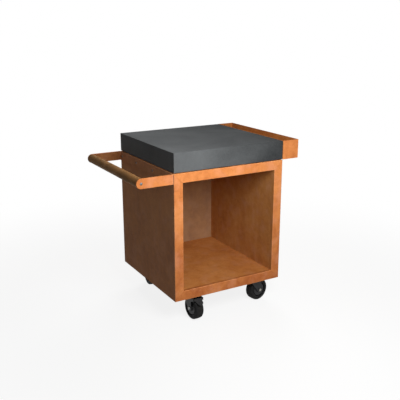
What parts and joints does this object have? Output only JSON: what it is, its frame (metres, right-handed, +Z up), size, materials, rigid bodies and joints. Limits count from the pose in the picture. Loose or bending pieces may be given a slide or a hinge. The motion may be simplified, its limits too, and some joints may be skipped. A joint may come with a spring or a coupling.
{
  "type": "mobile prep table",
  "caption": "Mobile outdoor prep table: open-fronted rusted-steel cabinet under a dark stone worktop, with a push handle, a hanging herb tray and swivel castors, some braked.",
  "frame": {"origin": "on the ground, under the middle of the cabinet's width and depth", "axes": "+Z up; +X to the herb tray's side, away from the handle; -Y out of the open front"},
  "size_m": [0.948, 0.6944, 0.907],
  "materials": {
    "rust_outside": "weathered rust patina, matte",
    "rust_inside": "dark rust patina, matte",
    "stone_worktop": "honed dark grey, fine mottled grain",
    "bar_bronze": "dark bronze, satin",
    "zinc": "zinc plated, satin",
    "black_steel": "black powder coat, satin",
    "black_nylon": "black moulded nylon",
    "black_rubber": "black rubber, matte",
    "natural_nylon": "natural nylon",
    "board": "raw fibre board",
    "alloy": "mill finish"
  },
  "bodies": {
    "table": {"side_panel_left": "rust_outside", "side_panel_right": "rust_outside", "front_rail_top": "rust_outside", "front_rail_bottom": "rust_outside", "handle_bracket": "rust_outside", "herb_tray": "rust_outside", "liner_left": "rust_inside", "liner_right": "rust_inside", "floor_panel": "rust_inside", "ceiling_panel": "rust_inside", "top_deck": "rust_inside", "back_panel": "rust_inside", "castor_rail_front": "rust_inside", "castor_rail_rear": "rust_inside", "worktop_top": "stone_worktop", "worktop_apron_front": "stone_worktop", "worktop_apron_back": "stone_worktop", "worktop_apron_left": "stone_worktop", "worktop_apron_right": "stone_worktop", "worktop_board": "board", "worktop_bearers": "alloy", "worktop_pads": "black_rubber", "handle_bar": "bar_bronze", "back_panel_screws": "zinc", "worktop_bolts": "zinc", "handle_end_screws": "zinc", "handle_bracket_screws": "zinc", "castor_bolts": "zinc", "king_pins": "zinc", "swivel_balls": "zinc", "castor_plate_fl": "zinc", "castor_plate_fr": "zinc", "castor_plate_rl": "zinc", "castor_plate_rr": "zinc"},
    "swivel_front_left": {"castor_fork_fl": "black_steel", "axle_fl": "zinc", "axle_sleeve_fl": "zinc"},
    "wheel_front_left": {"wheel_tyre_fl": "black_rubber", "wheel_core_fl": "black_nylon", "wheel_bushes_fl": "natural_nylon"},
    "brake_front_left": {"brake_pedal_fl": "black_steel"},
    "swivel_front_right": {"castor_fork_fr": "black_steel", "axle_fr": "zinc", "axle_sleeve_fr": "zinc"},
    "wheel_front_right": {"wheel_tyre_fr": "black_rubber", "wheel_core_fr": "black_nylon", "wheel_bushes_fr": "natural_nylon"},
    "swivel_rear_left": {"castor_fork_rl": "black_steel", "axle_rl": "zinc", "axle_sleeve_rl": "zinc"},
    "wheel_rear_left": {"wheel_tyre_rl": "black_rubber", "wheel_core_rl": "black_nylon", "wheel_bushes_rl": "natural_nylon"},
    "brake_rear_left": {"brake_pedal_rl": "black_steel"},
    "swivel_rear_right": {"castor_fork_rr": "black_steel", "axle_rr": "zinc", "axle_sleeve_rr": "zinc"},
    "wheel_rear_right": {"wheel_tyre_rr": "black_rubber", "wheel_core_rr": "black_nylon", "wheel_bushes_rr": "natural_nylon"}
  },
  "joints": [
    {"name": "swivel_front_left", "type": "hinge", "parent": "table", "child": "swivel_front_left", "pos_m": [-0.197, -0.259, 0.14], "axis": [0, 0, 1], "continuous": true},
    {"name": "roll_front_left", "type": "hinge", "parent": "swivel_front_left", "child": "wheel_front_left", "pos_m": [-0.19543, -0.28896, 0.0625], "axis": [0.9986, 0.0523, 0], "continuous": true},
    {"name": "brake_front_left", "type": "hinge", "parent": "swivel_front_left", "child": "brake_front_left", "pos_m": [-0.1935, -0.32574, 0.12144], "axis": [0.9986, 0.0523, 0], "range_deg": [0, 8]},
    {"name": "swivel_front_right", "type": "hinge", "parent": "table", "child": "swivel_front_right", "pos_m": [0.197, -0.259, 0.14], "axis": [0, 0, 1], "continuous": true},
    {"name": "roll_front_right", "type": "hinge", "parent": "swivel_front_right", "child": "wheel_front_right", "pos_m": [0.22663, -0.25431, 0.0625], "axis": [-0.1564, 0.9877, 0], "continuous": true},
    {"name": "swivel_rear_left", "type": "hinge", "parent": "table", "child": "swivel_rear_left", "pos_m": [-0.197, 0.259, 0.14], "axis": [0, 0, 1], "continuous": true},
    {"name": "roll_rear_left", "type": "hinge", "parent": "swivel_rear_left", "child": "wheel_rear_left", "pos_m": [-0.19961, 0.22911, 0.0625], "axis": [0.9962, -0.0872, 0], "continuous": true},
    {"name": "brake_rear_left", "type": "hinge", "parent": "swivel_rear_left", "child": "brake_rear_left", "pos_m": [-0.20283, 0.19243, 0.12144], "axis": [0.9962, -0.0872, 0], "range_deg": [0, 8]},
    {"name": "swivel_rear_right", "type": "hinge", "parent": "table", "child": "swivel_rear_right", "pos_m": [0.197, 0.259, 0.14], "axis": [0, 0, 1], "continuous": true},
    {"name": "roll_rear_right", "type": "hinge", "parent": "swivel_rear_right", "child": "wheel_rear_right", "pos_m": [0.21998, 0.27828, 0.0625], "axis": [-0.6428, 0.766, 0], "continuous": true}
  ]
}
